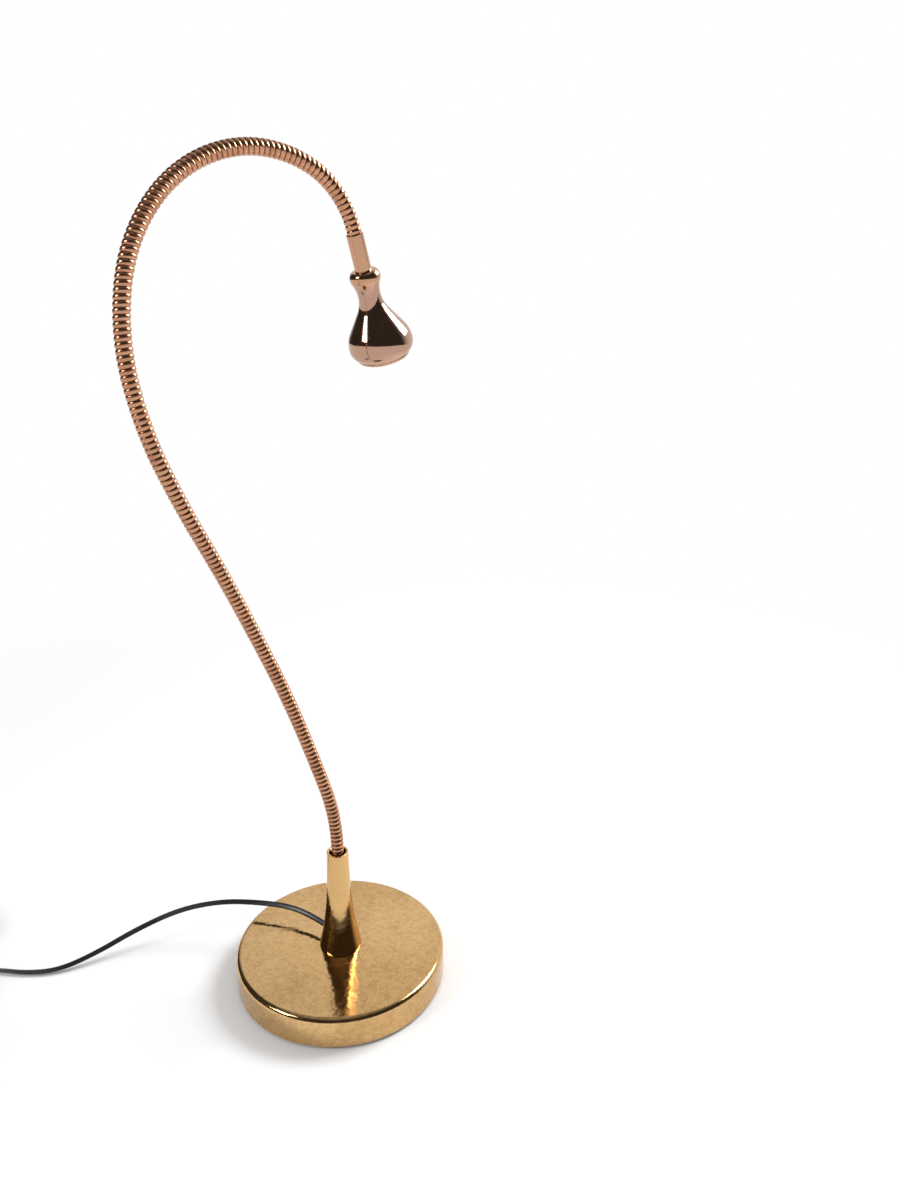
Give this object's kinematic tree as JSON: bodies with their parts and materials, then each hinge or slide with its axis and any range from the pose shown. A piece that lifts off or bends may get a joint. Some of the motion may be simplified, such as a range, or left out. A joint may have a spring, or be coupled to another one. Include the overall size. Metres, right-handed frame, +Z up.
{
  "type": "gooseneck desk lamp",
  "caption": "Table lamp with a heavy round base, flared stem, long ribbed bendable neck looped over to a small bell-shaped head, thin lead, rocker switch and plug-in driver.",
  "frame": {"origin": "centre of the foot pad's underside, on the surface the lamp stands on", "axes": "+Z up along the stem. +Y away from the picture's viewer and +X to their right, with the view turned about 8 degrees. The neck leans to the viewer's left and loops back to the right, and the lead leaves the stem at the rear left and lies towards -X"},
  "size_m": [0.3593, 0.163, 0.4414],
  "materials": {
    "pad": "matte black felt-like rubber",
    "weight": "rough cast",
    "steel": "zinc plated",
    "bronze": "mirror polished, bronze tone",
    "bush": "turned",
    "grommet": "dark, soft",
    "neck": "bright copper plating on a ribbed steel tube",
    "ferrule": "mirror polished, copper tone",
    "head": "mirror polished, dark copper tone",
    "rim": "bright polished",
    "lens": "clear, lightly frosted",
    "sink": "turned",
    "board": "white coated board",
    "emitter": "yellow phosphor",
    "lead": "glossy black twin lead",
    "case": "fine satin",
    "rocker": "smooth",
    "driver_board": "green coated board",
    "pins": "nickel plated"
  },
  "bodies": {
    "base": {"base_cover": "bronze", "base_plate": "steel", "base_weight": "weight", "driver_board": "driver_board", "driver_case": "case", "driver_cover": "case", "driver_relief": "case", "foot_pad": "pad", "lead": "lead", "lead_coil": "lead", "lead_grommet": "grommet", "lead_in_stem": "lead", "lead_to_driver": "lead", "lead_to_switch": "lead", "neck_bush": "bush", "neck_root": "neck", "plate_screw_1": "steel", "plate_screw_2": "steel", "plate_screw_3": "steel", "plug_pin_1": "pins", "plug_pin_2": "pins", "stem": "bronze", "stem_bolt": "steel", "stem_washer": "steel", "switch_case_bottom": "case", "switch_case_top": "case", "switch_relief_in": "case", "switch_relief_out": "case"},
    "link_01": {"neck_link_01": "neck"},
    "link_02": {"neck_link_02": "neck"},
    "link_03": {"neck_link_03": "neck"},
    "link_04": {"neck_link_04": "neck"},
    "link_05": {"neck_link_05": "neck"},
    "link_06": {"neck_link_06": "neck"},
    "link_07": {"neck_link_07": "neck"},
    "link_08": {"neck_link_08": "neck"},
    "link_09": {"neck_link_09": "neck"},
    "link_10": {"neck_link_10": "neck"},
    "link_11": {"neck_link_11": "neck"},
    "link_12": {"neck_link_12": "neck"},
    "head": {"neck_tip": "neck", "neck_ferrule": "ferrule", "head_collar": "ferrule", "head_shell": "head", "lens_ring": "rim", "lens": "lens", "heat_sink": "sink", "led_board": "board", "led_emitter": "emitter", "board_screw_1": "steel", "board_screw_2": "steel", "lead_in_head": "lead"},
    "rocker": {"switch_rocker": "rocker"}
  },
  "joints": [
    {"name": "neck_00_bend", "type": "hinge", "parent": "base", "child": "link_01", "pos_m": [0, 0, 0.0848], "axis": [0.5592, -0.829, 0], "range_deg": [-18, 18]},
    {"name": "neck_01_side", "type": "hinge", "parent": "link_01", "child": "link_02", "pos_m": [-0.00547, -0.00041, 0.12348], "axis": [-0.795, -0.5567, -0.2411], "range_deg": [-18, 18]},
    {"name": "neck_02_bend", "type": "hinge", "parent": "link_02", "child": "link_03", "pos_m": [-0.01686, -0.0016, 0.16097], "axis": [0.5397, -0.8305, 0.1378], "range_deg": [-18, 18]},
    {"name": "neck_03_side", "type": "hinge", "parent": "link_03", "child": "link_04", "pos_m": [-0.02957, -0.00496, 0.19788], "axis": [-0.7565, -0.5481, -0.3567], "range_deg": [-18, 18]},
    {"name": "neck_04_bend", "type": "hinge", "parent": "link_04", "child": "link_05", "pos_m": [-0.04282, -0.01209, 0.23406], "axis": [0.5862, -0.8101, 0.0079], "range_deg": [-18, 18]},
    {"name": "neck_05_side", "type": "hinge", "parent": "link_05", "child": "link_06", "pos_m": [-0.0562, -0.02226, 0.26947], "axis": [-0.721, -0.525, -0.4523], "range_deg": [-18, 18]},
    {"name": "neck_06_bend", "type": "hinge", "parent": "link_06", "child": "link_07", "pos_m": [-0.06876, -0.03354, 0.30484], "axis": [0.6093, -0.791, -0.0551], "range_deg": [-8, 18]},
    {"name": "neck_07_side", "type": "hinge", "parent": "link_07", "child": "link_08", "pos_m": [-0.07699, -0.04205, 0.34212], "axis": [-0.7854, -0.5893, -0.1893], "range_deg": [-18, 18]},
    {"name": "neck_08_bend", "type": "hinge", "parent": "link_08", "child": "link_09", "pos_m": [-0.07625, -0.04294, 0.38106], "axis": [0.606, -0.7952, -0.0211], "range_deg": [-8, 18]},
    {"name": "neck_09_side", "type": "hinge", "parent": "link_09", "child": "link_10", "pos_m": [-0.06182, -0.03328, 0.41568], "axis": [-0.579, -0.4648, 0.6699], "range_deg": [-18, 18]},
    {"name": "neck_10_bend", "type": "hinge", "parent": "link_10", "child": "link_11", "pos_m": [-0.03439, -0.01488, 0.43576], "axis": [0.5629, -0.8241, -0.0634], "range_deg": [-8, 18]},
    {"name": "neck_11_side", "type": "hinge", "parent": "link_11", "child": "link_12", "pos_m": [-0.00231, 0.0064, 0.43355], "axis": [0.3382, 0.1466, 0.9296], "range_deg": [-18, 18]},
    {"name": "neck_12_bend", "type": "hinge", "parent": "link_12", "child": "head", "pos_m": [0.01868, 0.02319, 0.40662], "axis": [0.5717, -0.8131, -0.1094], "range_deg": [-8, 18]},
    {"name": "rocker_tilt", "type": "hinge", "parent": "base", "child": "rocker", "pos_m": [-0.22293, -0.02, 0.0126], "axis": [1, 0, 0], "range_deg": [0, 14]}
  ]
}
